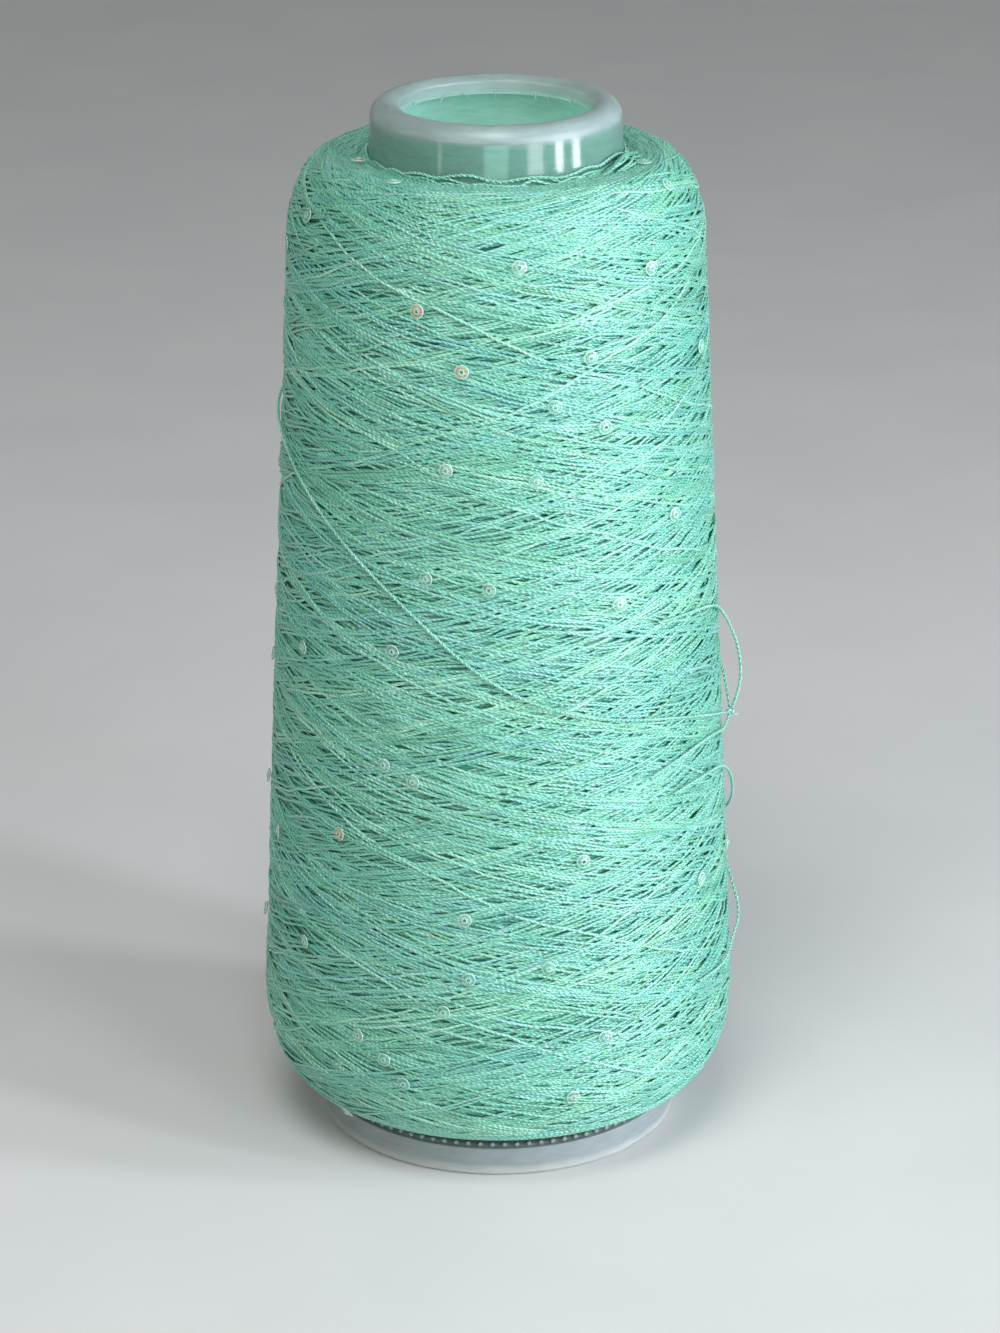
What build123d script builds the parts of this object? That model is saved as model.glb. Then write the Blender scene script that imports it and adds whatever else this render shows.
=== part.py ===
from build123d import *

import os
from math import asin, atan, atan2, cos, degrees, pi, radians, sin, sqrt, tan
from random import Random

# A cone of sequin yarn: the moulded core, the cross-wound package on it, the loose end
# with its tied loop, the strands that stand off the package, and the sequins.
# Millimetres, +Z up the core's axis, origin at the centre of the base. The front is -Y.
# A place on the yarn is an angle round the axis in degrees, counted from +X, and a height.

# ---------------------------------------------------------------- driving dimensions
# Core: a hollow cone moulded in one piece, with a taper of about 3.3 degrees a side
CORE_HEIGHT = 230.0
CORE_BASE_RADIUS = 39.3
CORE_NOSE_RADIUS = 26.1
CORE_WALL = 2.0
LIP_BORE_RADIUS = 20.3
LIP_DEPTH = 3.8
LIP_BORE_LENGTH = 2.75
LIP_OUTER_ROUND = 3.4
LIP_INNER_ROUND = 0.6
BASE_RING_HEIGHT = 6.4
BASE_EDGE_ROUND = 1.1
RING_TOP_ROUND = 0.3
GROOVE_HEIGHT = 2.8
GROOVE_DEPTH = 1.1
TOOTH_COUNT = 90
TOOTH_RADIUS = 0.45
TOOTH_RISE = 0.75
TOOTH_ROOT = 0.4
TOOTH_ABOVE_RING = 0.7

# Package: the wound yarn, from just above the groove to just below the nose
PACKAGE_ABOVE_GROOVE = 0.6
PACKAGE_CORE_GAP = 0.15
NOSE_SHOWING = 10.8
TOP_DISH = 0.8
TOP_SIDE_RADIUS = 44.2
BOTTOM_SIDE_RADIUS = 52.1
TOP_SHOULDER_WIDTH = 9.7
TOP_SHOULDER_DROP = 17.7
BOTTOM_SHOULDER_WIDTH = 10.6
BOTTOM_SHOULDER_RISE = 21.2

# Yarn: one strand of it
YARN_RADIUS = 0.35
LAY_GAP = 0.15
ROUND_SHARE = 0.45

# Knot that ties the loose end
KNOT_ANGLE = -2.2
KNOT_OFF_PACKAGE = 1.6
KNOT_HEIGHT = 93.9
KNOT_YARN_RADII = 2.9
KNOT_GAP = 0.05
STUB_LENGTH = 1.1
STUB_SLIMMING = 0.05

# Sequins: small cupped rings
SEQUIN_RADIUS = 1.5
SEQUIN_HOLE_RADIUS = 0.4
SEQUIN_CUP = 0.3
SEQUIN_THICKNESS = 0.1
SEQUIN_GAP = 0.08
SEQUIN_LEAN_STEP = 3.0
SEQUIN_LEANS = 5
BACK_SEQUINS = 60
BACK_MARGIN = 6.0
BACK_SEED = 11
TOP_SEQUIN_CLEARANCE = 0.3

# ---------------------------------------------------------------- worked out from them
GROOVE_TOP = BASE_RING_HEIGHT + GROOVE_HEIGHT
PACKAGE_BOTTOM = GROOVE_TOP + PACKAGE_ABOVE_GROOVE
PACKAGE_TOP = CORE_HEIGHT - NOSE_SHOWING
SIDE_TOP = PACKAGE_TOP - TOP_SHOULDER_DROP
SIDE_BOTTOM = PACKAGE_BOTTOM + BOTTOM_SHOULDER_RISE
TOP_AT_CORE = PACKAGE_TOP - TOP_DISH
STAND_OFF = YARN_RADIUS + LAY_GAP
KNOT_RADIUS = KNOT_YARN_RADII * YARN_RADIUS


def core_radius(height):
    """Outer radius of the core's cone at a height."""
    return CORE_BASE_RADIUS + (CORE_NOSE_RADIUS - CORE_BASE_RADIUS) * height / CORE_HEIGHT


def package_radius(height):
    """Outer radius of the wound yarn at a height."""
    if height > SIDE_TOP:
        rise = min((height - SIDE_TOP) / TOP_SHOULDER_DROP, 1.0)
        return TOP_SIDE_RADIUS - TOP_SHOULDER_WIDTH * (1 - sqrt(1 - rise**2))
    if height < SIDE_BOTTOM:
        fall = min((SIDE_BOTTOM - height) / BOTTOM_SHOULDER_RISE, 1.0)
        return BOTTOM_SIDE_RADIUS - BOTTOM_SHOULDER_WIDTH * (1 - sqrt(1 - fall**2))
    share = (height - SIDE_BOTTOM) / (SIDE_TOP - SIDE_BOTTOM)
    return BOTTOM_SIDE_RADIUS + (TOP_SIDE_RADIUS - BOTTOM_SIDE_RADIUS) * share


def at(angle, from_axis, height):
    """Point at an angle round the axis, a distance from it and a height."""
    return Vector(from_axis * cos(radians(angle)), from_axis * sin(radians(angle)), height)


def off_package(angle, off, height):
    """Point that stands off the package's side by a distance."""
    return at(angle, package_radius(height) + off, height)


def laid_round(places, radius_at):
    """Points of a strand that lies round the piece whose radius at a height is given.

    Each point stands out by as much as the straight runs beside it dip towards the axis.
    """
    angles = [angle for angle, _ in places]
    steps = [abs(b - a) for a, b in zip(angles, angles[1:])]
    widest = [max(pair) for pair in zip(steps[:1] + steps, steps + steps[-1:])]
    return [
        at(angle, (radius_at(height) + STAND_OFF) / cos(radians(step / 2)), height)
        for (angle, height), step in zip(places, widest)
    ]


def bend_radii(points):
    """Radius of the arc at each corner: as large as its two runs allow."""
    radii = []
    for before, corner, after in zip(points, points[1:], points[2:]):
        turn = (corner - before).get_angle(after - corner)
        run = min((corner - before).length, (after - corner).length)
        radii.append(ROUND_SHARE * run / tan(radians(turn / 2)))
    return radii


strand_routes = []


def make_strand(name, points):
    """One stretch of yarn along straight runs joined by tangent arcs."""
    radii = bend_radii(points)
    with BuildPart() as strand:
        with BuildLine():
            route = FilletPolyline(*points, radius=radii)
        with BuildSketch(Plane(origin=route @ 0, z_dir=route % 0)):
            Circle(YARN_RADIUS)
        sweep(path=route)
    strand_routes.append(route)
    expected = pi * YARN_RADIUS**2 * route.length
    print(
        f"{name}: length {route.length:.1f} mm, volume {strand.part.volume / expected:.4f} of"
        f" section x length, radii {', '.join(f'{radius:.1f}' for radius in radii)}"
    )
    return strand.part


# ---------------------------------------------------------------- core_cone
with BuildPart() as core_cone:
    groove_radius = core_radius(GROOVE_TOP) - GROOVE_DEPTH
    lip_underside = CORE_HEIGHT - LIP_DEPTH
    bore_top = lip_underside + LIP_BORE_LENGTH
    # The rim is rounded from the wall over its crest, and from there it falls to the bore.
    wall_lean = atan((CORE_BASE_RADIUS - CORE_NOSE_RADIUS) / CORE_HEIGHT)
    crest_radius = core_radius(CORE_HEIGHT - LIP_OUTER_ROUND) - LIP_OUTER_ROUND / cos(wall_lean)
    crest_foot = Vector(crest_radius, CORE_HEIGHT - LIP_OUTER_ROUND)
    to_foot = crest_foot - Vector(LIP_BORE_RADIUS, bore_top)
    rim_slope = atan2(to_foot.Y, to_foot.X) + asin(LIP_OUTER_ROUND / to_foot.length)
    round_start = crest_foot + Vector(cos(wall_lean), sin(wall_lean)) * LIP_OUTER_ROUND
    round_end = crest_foot + Vector(-sin(rim_slope), cos(rim_slope)) * LIP_OUTER_ROUND
    with BuildSketch(Plane.XZ):
        with BuildLine():
            outside = Polyline(
                (CORE_BASE_RADIUS - CORE_WALL, 0),
                (CORE_BASE_RADIUS, 0),
                (core_radius(BASE_RING_HEIGHT), BASE_RING_HEIGHT),
                (groove_radius, BASE_RING_HEIGHT),
                (groove_radius, GROOVE_TOP),
                (core_radius(GROOVE_TOP), GROOVE_TOP),
                round_start,
            )
            ThreePointArc(round_start, (crest_radius, CORE_HEIGHT), round_end)
            Polyline(
                round_end,
                (LIP_BORE_RADIUS, bore_top),
                (LIP_BORE_RADIUS, lip_underside),
                (core_radius(lip_underside) - CORE_WALL, lip_underside),
                outside @ 0,
            )
        make_face()
        fillet(vertices().sort_by_distance((LIP_BORE_RADIUS, bore_top))[0], LIP_INNER_ROUND)
        fillet(vertices().group_by(Axis.Y)[0].sort_by(Axis.X)[-1], BASE_EDGE_ROUND)
        ring_corner = (core_radius(BASE_RING_HEIGHT), BASE_RING_HEIGHT)
        fillet(vertices().sort_by_distance(ring_corner)[0], RING_TOP_ROUND)
    revolve(axis=Axis.Z)
    # Teeth in the groove, which catch the first turns of the yarn
    with Locations((0, 0, BASE_RING_HEIGHT + TOOTH_ABOVE_RING)):
        with PolarLocations(groove_radius - TOOTH_ROOT, TOOTH_COUNT):
            Cylinder(
                TOOTH_RADIUS,
                TOOTH_ROOT + TOOTH_RISE,
                rotation=(0, 90, 0),
                align=(Align.CENTER, Align.CENTER, Align.MIN),
            )

# ---------------------------------------------------------------- yarn_package
with BuildPart() as yarn_package:
    top_shoulder = (TOP_SIDE_RADIUS - TOP_SHOULDER_WIDTH, SIDE_TOP)
    bottom_shoulder = (BOTTOM_SIDE_RADIUS - BOTTOM_SHOULDER_WIDTH, SIDE_BOTTOM)
    with BuildSketch(Plane.XZ):
        with BuildLine():
            low = EllipticalCenterArc(
                bottom_shoulder, BOTTOM_SHOULDER_WIDTH, BOTTOM_SHOULDER_RISE, 270, arc_size=90
            )
            side = Line(low @ 1, (TOP_SIDE_RADIUS, SIDE_TOP))
            high = EllipticalCenterArc(
                top_shoulder, TOP_SHOULDER_WIDTH, TOP_SHOULDER_DROP, 0, arc_size=90
            )
            dish = Line(high @ 1, (core_radius(TOP_AT_CORE) + PACKAGE_CORE_GAP, TOP_AT_CORE))
            inner = Line(dish @ 1, (core_radius(PACKAGE_BOTTOM) + PACKAGE_CORE_GAP, PACKAGE_BOTTOM))
            Line(inner @ 1, low @ 0)
        make_face()
    revolve(axis=Axis.Z)

# ---------------------------------------------------------------- loose end and its knot
# The loose end comes round the left side, slants down the front and ends at the knot.
# The tied loop stands off the right side above the knot; two legs run back to the package.
# A place off the package has three numbers: angle, distance from its side, and height.
LOOSE_END_PLACES = [
    (-200, 167.0),
    (-187, 165.6),
    (-175, 163.2),
    (-164, 160.2),
    (-153, 155.6),
    (-142, 150.0),
    (-131, 144.0),
    (-120, 137.6),
    (-109, 130.6),
    (-99, 123.2),
    (-89, 117.2),
    (-78, 112.6),
    (-66, 109.2),
    (-53, 106.6),
    (-40, 104.2),
    (-27, 101.0),
    (-14.5, 97.6),
]
TIED_LOOP_PLACES = [(-46, 126.6), (-36, 126.0), (-26, 125.0), (-16.5, 123.0), (-8.5, 119.6)]
TIED_LOOP_FREE = [(-4.0, 2.0, 115.2), (-2.2, 3.6, 110.2), (-2.4, 4.3, 104.8), (-2.6, 3.9, 99.6)]
UPPER_LEG_PLACES = [(38, 108.4), (28, 107.0), (18, 105.0), (9, 102.6)]
UPPER_LEG_FREE = [(2.6, 1.1, 99.4)]
LOWER_LEG_PLACES = [(-50, 93.0), (-39, 94.8), (-28, 95.6), (-17.5, 94.4), (-9.0, 92.0)]

knot_centre = off_package(KNOT_ANGLE, KNOT_OFF_PACKAGE, KNOT_HEIGHT)


def up_to_knot(points):
    """The points, and one more where the strand meets the knot."""
    reach = (points[-1] - knot_centre).normalized() * (KNOT_RADIUS + KNOT_GAP)
    return points + [knot_centre + reach]


loose_end = make_strand("loose_end", up_to_knot(laid_round(LOOSE_END_PLACES, package_radius)))
tied_loop = make_strand(
    "tied_loop",
    up_to_knot(
        laid_round(TIED_LOOP_PLACES, package_radius) + [off_package(*place) for place in TIED_LOOP_FREE]
    ),
)
knot_leg_upper = make_strand(
    "knot_leg_upper",
    up_to_knot(
        laid_round(UPPER_LEG_PLACES, package_radius) + [off_package(*place) for place in UPPER_LEG_FREE]
    ),
)
knot_leg_lower = make_strand(
    "knot_leg_lower", up_to_knot(laid_round(LOWER_LEG_PLACES, package_radius))
)

with BuildPart() as end_knot:
    # A tight overhand knot, with the cut stub of the yarn pointing out and a little down
    with Locations(knot_centre):
        Sphere(KNOT_RADIUS)
    with BuildSketch(Plane(origin=knot_centre, z_dir=(1.0, 0.0, -0.5))):
        Circle(YARN_RADIUS - STUB_SLIMMING)
    extrude(amount=KNOT_RADIUS + STUB_LENGTH)

# ---------------------------------------------------------------- side and nose strands
# Two strands that bulge a little off the right side, and one that waves along the edge
# where the package meets the nose.
MID_LOOP_BEFORE = [(-42, 87.4), (-32, 87.8), (-22, 87.2), (-13, 85.2)]
MID_LOOP_FREE = [(-5.5, 1.4, 80.8), (-2.4, 1.7, 75.0)]
MID_LOOP_AFTER = [(4, 69.4), (13, 66.0), (23, 64.4), (33, 64.0)]
LOW_LOOP_BEFORE = [(34, 61.0), (25, 59.4), (16, 57.0), (8, 53.6)]
LOW_LOOP_FREE = [(2.0, 1.7, 49.2), (-1.6, 2.3, 45.2)]
LOW_LOOP_AFTER = [(-7, 41.8), (-15, 40.6), (-24, 40.8), (-34, 41.8)]
# Heights of the nose strand are above the edge where the package meets the core
NOSE_STRAND_RISES = [
    (-134, 0.8),
    (-126, 1.8),
    (-117, 0.9),
    (-109, 1.9),
    (-101, 2.3),
    (-93, 1.1),
    (-86, 0.9),
    (-79, 1.5),
    (-71, 1.6),
    (-63, 0.8),
    (-55, 1.1),
    (-47, 2.1),
    (-39, 1.4),
    (-31, 2.3),
    (-22, 2.5),
    (-14, 1.5),
]


def loop_points(before, free, after):
    """A strand laid on the package, off it for a stretch, and laid on it again."""
    on_before = laid_round(before, package_radius)
    on_after = laid_round(after, package_radius)
    return on_before + [off_package(*place) for place in free] + on_after


side_loop_mid = make_strand(
    "side_loop_mid", loop_points(MID_LOOP_BEFORE, MID_LOOP_FREE, MID_LOOP_AFTER)
)
side_loop_low = make_strand(
    "side_loop_low", loop_points(LOW_LOOP_BEFORE, LOW_LOOP_FREE, LOW_LOOP_AFTER)
)
nose_places = [(angle, TOP_AT_CORE + rise) for angle, rise in NOSE_STRAND_RISES]
nose_strand = make_strand("nose_strand", laid_round(nose_places, core_radius))

# ---------------------------------------------------------------- sequins
# The front ones have places of their own; the back carries as many to an area.
FRONT_SEQUINS = [
    (-154, 210.2),
    (-169, 201.6),
    (-111, 196.4),
    (-65, 186.2),
    (-75, 176.8),
    (-61, 171.2),
    (-99, 184.4),
    (-103, 163.6),
    (-108, 140.2),
    (-92, 138.6),
    (-117, 123.4),
    (-119, 98.2),
    (-111, 95.6),
    (-132, 80.2),
    (-160, 72.4),
    (-98, 65.8),
    (-97, 52.4),
    (-103, 44.6),
    (-78, 54.6),
    (-125, 35.6),
    (-118, 31.4),
    (-113, 26.6),
    (-134, 13.2),
    (-64, 37.0),
    (-45, 202.4),
    (-28, 216.4),
    (-69, 77.8),
    (-80, 161.4),
    (-84, 206.0),
    (-38, 148.6),
    (-30, 64.4),
    (-20, 181.0),
    (-148, 118.0),
    (-144, 52.0),
    (-58, 132.8),
    (-72, 24.0),
]
# On the top face: an angle, and a share of the way from the core to the shoulder
TOP_SEQUINS = [(-163, 0.17), (-128, 0.88), (-20, 0.68), (118, 0.41)]


def sequin_on_side(angle, height, lean):
    """Location of a sequin flat on the package's side, leaning by an angle from flat."""
    slope = (package_radius(height + 0.1) - package_radius(height - 0.1)) / 0.2
    lift = SEQUIN_GAP + SEQUIN_RADIUS * sin(radians(lean))
    tilt = 90 + degrees(atan(slope))
    out = Location(Vector(0, 0, height), (0, 0, angle)) * Location((package_radius(height), 0, 0))
    return out * Location((0, 0, 0), (0, tilt, 0)) * Location((0, 0, lift), (lean, 0, 0))


def sequin_on_top(angle, share):
    """Location of a sequin flat on the package's top face."""
    nearest = core_radius(TOP_AT_CORE) + SEQUIN_RADIUS + TOP_SEQUIN_CLEARANCE
    furthest = TOP_SIDE_RADIUS - TOP_SHOULDER_WIDTH
    from_axis = nearest + (furthest - nearest) * share
    return Location(at(angle, from_axis, PACKAGE_TOP + SEQUIN_GAP))


def back_places():
    """Places of the sequins on the back: a random angle in each of as many height bands."""
    spread = Random(BACK_SEED)
    low = PACKAGE_BOTTOM + BACK_MARGIN
    band = (PACKAGE_TOP - BACK_MARGIN - low) / BACK_SEQUINS
    return [
        (spread.uniform(0, 180), low + band * (number + spread.random()))
        for number in range(BACK_SEQUINS)
    ]


def clear_of_strands(location):
    """Whether a sequin at a location keeps clear of the strands off the package."""
    reach = SEQUIN_RADIUS + STAND_OFF
    return all(route.distance_to(location.position) > reach for route in strand_routes)


with BuildPart() as one_sequin:
    with BuildSketch(Plane.XZ):
        with BuildLine():
            Polyline(
                (SEQUIN_RADIUS, 0),
                (SEQUIN_RADIUS, SEQUIN_THICKNESS),
                (SEQUIN_HOLE_RADIUS, SEQUIN_CUP + SEQUIN_THICKNESS),
                (SEQUIN_HOLE_RADIUS, SEQUIN_CUP),
                close=True,
            )
        make_face()
    revolve(axis=Axis.Z)

side_places = FRONT_SEQUINS + back_places()
sequin_locations = [sequin_on_top(*place) for place in TOP_SEQUINS]
for number, (angle, height) in enumerate(side_places):
    sequin_lean = SEQUIN_LEAN_STEP * (number % SEQUIN_LEANS)
    sequin_locations.append(sequin_on_side(angle, height, sequin_lean))

sequin_locations = list(filter(clear_of_strands, sequin_locations))
print(f"sequins: {len(sequin_locations)}")

with BuildPart() as sequins:
    with Locations(*sequin_locations):
        add(one_sequin.part)

# ---------------------------------------------------------------- one STEP file per node
nodes = {
    "core_cone": core_cone.part,
    "yarn_package": yarn_package.part,
    "loose_end": loose_end,
    "tied_loop": tied_loop,
    "knot_leg_upper": knot_leg_upper,
    "knot_leg_lower": knot_leg_lower,
    "end_knot": end_knot.part,
    "side_loop_mid": side_loop_mid,
    "side_loop_low": side_loop_low,
    "nose_strand": nose_strand,
    "sequins": sequins.part,
}
os.makedirs("parts", exist_ok=True)
for node_name, node_part in nodes.items():
    node_part.label = node_name
    export_step(node_part, f"parts/{node_name}.step")
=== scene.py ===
"""Looks of a cone of sequin yarn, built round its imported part, in metres and in the part's frame.

Sizes in the classes are in millimetres, as a winder or a moulder gives them, and turn to metres
where a mesh is made. The front of the cone is -Y, and angles are counted from +X.
"""

import logging
import math
from dataclasses import dataclass, field
from enum import Enum

import bpy
import numpy as np
from mathutils import Matrix, Vector


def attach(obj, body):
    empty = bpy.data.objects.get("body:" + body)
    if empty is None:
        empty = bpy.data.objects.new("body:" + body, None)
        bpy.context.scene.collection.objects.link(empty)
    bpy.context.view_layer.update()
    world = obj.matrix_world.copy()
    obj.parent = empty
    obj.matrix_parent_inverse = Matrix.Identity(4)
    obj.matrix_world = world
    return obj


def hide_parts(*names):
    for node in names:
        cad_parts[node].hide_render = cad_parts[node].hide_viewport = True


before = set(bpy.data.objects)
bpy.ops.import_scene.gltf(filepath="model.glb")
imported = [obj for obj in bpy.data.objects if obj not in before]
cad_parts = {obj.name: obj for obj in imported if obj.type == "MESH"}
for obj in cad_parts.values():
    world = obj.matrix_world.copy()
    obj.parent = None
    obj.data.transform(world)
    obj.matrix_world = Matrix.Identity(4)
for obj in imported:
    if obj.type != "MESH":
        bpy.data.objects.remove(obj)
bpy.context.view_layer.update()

MM = 0.001
ROOT = "root"
BAND_WAVE = 0.6283  # a band node draws one wave in this much of its input
LOG = logging.getLogger("yarn_cone")

Point = tuple[float, float, float]


# ---------------------------------------------------------------- colours and material nodes
def linear(code: str) -> tuple[float, float, float, float]:
    """Turns an sRGB colour to the linear one that Blender works in.

    Args:
        code: Six hex digits after a hash.

    Returns:
        Red, green, blue and an alpha of 1.
    """
    parts = [int(code[start : start + 2], 16) / 255 for start in (1, 3, 5)]
    red, green, blue = (c / 12.92 if c <= 0.04045 else ((c + 0.055) / 1.055) ** 2.4 for c in parts)
    return red, green, blue, 1.0


def linear_grey(value: float) -> str:
    """The sRGB grey whose linear value is the one given, as a ramp of roughness needs."""
    level = value * 12.92 if value <= 0.0031308 else 1.055 * value ** (1 / 2.4) - 0.055
    return "#" + f"{round(level * 255):02X}" * 3


def add_node(
    tree: bpy.types.NodeTree, kind: str, settings: dict | None = None, links: dict | None = None
) -> bpy.types.Node:
    """Adds a node with its settings and its links.

    Args:
        tree: The node tree that it goes in.
        kind: Blender's name for the node, without its "ShaderNode".
        settings: Attributes by name, and values of input sockets by name or number.
        links: Output sockets, by the name or number of the input that each feeds.

    Returns:
        The new node.
    """
    node = tree.nodes.new("ShaderNode" + kind)
    for name, value in (settings or {}).items():
        if isinstance(name, str) and hasattr(node, name):
            setattr(node, name, value)
        else:
            node.inputs[name].default_value = value
    for name, output in (links or {}).items():
        tree.links.new(output, node.inputs[name])
    return node


def add_ramp(
    tree: bpy.types.NodeTree, factor: bpy.types.NodeSocket, stops: list[tuple[float, str]]
) -> bpy.types.NodeSocket:
    """Lays colours along a factor.

    Args:
        tree: The node tree that it goes in.
        factor: What the colours follow, from 0 to 1.
        stops: Places along it and their sRGB hex colours.

    Returns:
        The colour output.
    """
    ramp = add_node(tree, "ValToRGB", links={0: factor})
    elements = ramp.color_ramp.elements
    while len(elements) < len(stops):
        elements.new(0.5)
    for element, (position, code) in zip(elements, stops):
        element.position = position
        element.color = linear(code)
    return ramp.outputs["Color"]


def even_stops(codes: tuple[str, ...]) -> list[tuple[float, str]]:
    """Spreads colours evenly over a ramp."""
    return [(number / (len(codes) - 1), code) for number, code in enumerate(codes)]


def blank_material(name: str) -> tuple[bpy.types.Material, bpy.types.NodeTree]:
    """Makes a material with an empty node tree.

    Args:
        name: The material's name.

    Returns:
        The material and its node tree.
    """
    material = bpy.data.materials.new(name)
    material.use_nodes = True
    material.node_tree.nodes.clear()
    return material, material.node_tree


def close_material(tree: bpy.types.NodeTree, surface: bpy.types.NodeSocket) -> None:
    """Joins a shader to the material's output.

    Args:
        tree: The material's node tree.
        surface: The shader output that the eye sees.
    """
    add_node(tree, "OutputMaterial", links={"Surface": surface})


# ---------------------------------------------------------------- finishes
@dataclass(frozen=True)
class YarnFinish:
    """Two-ply viscose yarn with a metallised filament, piece dyed mint.

    The plies do not take the dye evenly. The plies' twist and a crinkle along the strand are
    painted into its colour as painted shade, darker slanting dashes, and also make its bump.
    Filament viscose is smooth, so it shines along the strand.
    """

    name: str = "viscose_metallised_yarn"
    twist_pitch: float = 2.4  # mm along the yarn for one full turn of the plies
    plies: int = 2
    crinkle_shade_length: float = 1.9  # mm along the strand for one patch of crinkle, painted as shade into the colour and used as bump
    roughness: float = 0.3
    deep: str = "#35967F"
    mid: str = "#5DBBA5"
    pale: str = "#81CFBB"
    light: str = "#B0E8D9"
    green_cast: str = "#9FE3B0"
    blue_cast: str = "#86C8E0"
    sheen: str = "#D8FFF2"

    def make(self) -> bpy.types.Material:
        """Builds the material.

        Returns:
            A material that reads the tubes' tone and cast and their lay map.
        """
        material, tree = blank_material(self.name)
        tone = add_node(tree, "Attribute", {"attribute_name": "tone"}).outputs["Fac"]
        cast = add_node(tree, "Attribute", {"attribute_name": "cast"}).outputs["Fac"]
        lay = add_node(tree, "UVMap", {"uv_map": "lay"}).outputs["UV"]
        bands = BAND_WAVE * self.plies
        scaled = add_node(
            tree, "Mapping", {"Scale": (bands / self.twist_pitch, bands, 0.0)}, {"Vector": lay}
        )
        plies = add_node(
            tree,
            "TexWave",
            {
                "bands_direction": "DIAGONAL",
                "Scale": 1.0,
                "Distortion": 2.2,
                "Detail": 1.5,
                "Detail Scale": 0.7,
            },
            {"Vector": scaled.outputs["Vector"]},
        ).outputs["Fac"]
        dyed = add_ramp(
            tree,
            tone,
            [(0.0, self.deep), (0.38, self.mid), (0.68, self.pale), (1.0, self.light)],
        )
        leaned = add_ramp(
            tree, cast, [(0.0, self.blue_cast), (0.5, self.pale), (1.0, self.green_cast)]
        )
        coloured = add_node(
            tree, "Mix", {"data_type": "RGBA", 0: 0.28}, {6: dyed, 7: leaned}
        ).outputs[2]
        # A crinkle along the strand: painted shade in the colour, and part of the bump.
        crinkle_shade_scale = add_node(
            tree, "Mapping", {"Scale": (1 / self.crinkle_shade_length, 2.5, 0.0)}, {"Vector": lay}
        )
        crinkle_shade = add_node(
            tree, "TexNoise", {"Scale": 1.0, "Detail": 2.0}, {"Vector": crinkle_shade_scale.outputs["Vector"]}
        ).outputs["Fac"]
        relief = add_node(
            tree, "Mix", {"data_type": "FLOAT", 0: 0.6}, {2: plies, 3: crinkle_shade}
        ).outputs[0]
        # Painted shade: the grooves between the plies and the crinkle's dips darken the yarn's
        # colour.
        groove = add_ramp(tree, relief, [(0.28, "#7C9C93"), (0.56, "#FFFFFF")])
        colour = add_node(
            tree,
            "Mix",
            {"data_type": "RGBA", "blend_type": "MULTIPLY", 0: 0.6},
            {6: coloured, 7: groove},
        ).outputs[2]
        bump = add_node(tree, "Bump", {"Strength": 0.6, "Distance": 0.0004}, {"Height": relief})
        shader = add_node(
            tree,
            "BsdfPrincipled",
            {
                "Roughness": self.roughness,
                "IOR": 1.58,
                "Specular IOR Level": 1.0,
                "Sheen Weight": 0.2,
                "Sheen Roughness": 0.35,
                "Sheen Tint": linear(self.sheen),
            },
            {"Base Color": colour, "Normal": bump.outputs["Normal"]},
        )
        close_material(tree, shader.outputs["BSDF"])
        return material


@dataclass(frozen=True)
class InnerYarnFinish:
    """The same yarn deep between the outer wraps, where little light comes back: its dark colour is
    painted shade, and its wraps' lit and dark bands are painted light and shade.
    """

    name: str = "viscose_yarn_in_shade"
    wrap_width: float = 1.1  # mm; the real 0.7 mm wraps would be too fine to show in the gaps
    dark: str = "#2A8271"
    lit: str = "#52B39C"

    def make(self) -> bpy.types.Material:
        """Builds the material.

        Returns:
            A material darkened with painted shade, with faint level wraps in painted lit and dark
            bands.
        """
        material, tree = blank_material(self.name)
        place = add_node(tree, "TexCoord").outputs["Object"]
        wraps = add_node(
            tree,
            "TexWave",
            {
                "bands_direction": "Z",
                "Scale": BAND_WAVE / (self.wrap_width * MM),
                "Distortion": 3.0,
                "Detail": 2.0,
                "Detail Scale": 0.4,
            },
            {"Vector": place},
        ).outputs["Fac"]
        colour = add_ramp(tree, wraps, [(0.0, self.dark), (1.0, self.lit)])
        bump = add_node(tree, "Bump", {"Strength": 0.4, "Distance": 0.0003}, {"Height": wraps})
        shader = add_node(
            tree,
            "BsdfPrincipled",
            {"Roughness": 0.7, "IOR": 1.53},
            {"Base Color": colour, "Normal": bump.outputs["Normal"]},
        )
        close_material(tree, shader.outputs["BSDF"])
        return material


@dataclass(frozen=True)
class FilamentFinish:
    """Metallised polyester film, slit to a flat filament: tiny mirrors that flash in turn."""

    name: str = "metallised_film_filament"
    roughness: float = 0.3
    tints: tuple[str, ...] = ("#B4F7C8", "#9BF08F", "#FFF3A0", "#FFFFFF", "#A8E6FF")

    def make(self) -> bpy.types.Material:
        """Builds the material.

        Returns:
            A metal whose tint changes from one sliver to the next.
        """
        material, tree = blank_material(self.name)
        tone = add_node(tree, "Attribute", {"attribute_name": "tone"}).outputs["Fac"]
        tint = add_ramp(tree, tone, even_stops(self.tints))
        shader = add_node(
            tree,
            "BsdfPrincipled",
            {"Roughness": self.roughness, "Metallic": 0.9},
            {"Base Color": tint},
        )
        close_material(tree, shader.outputs["BSDF"])
        return material


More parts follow.
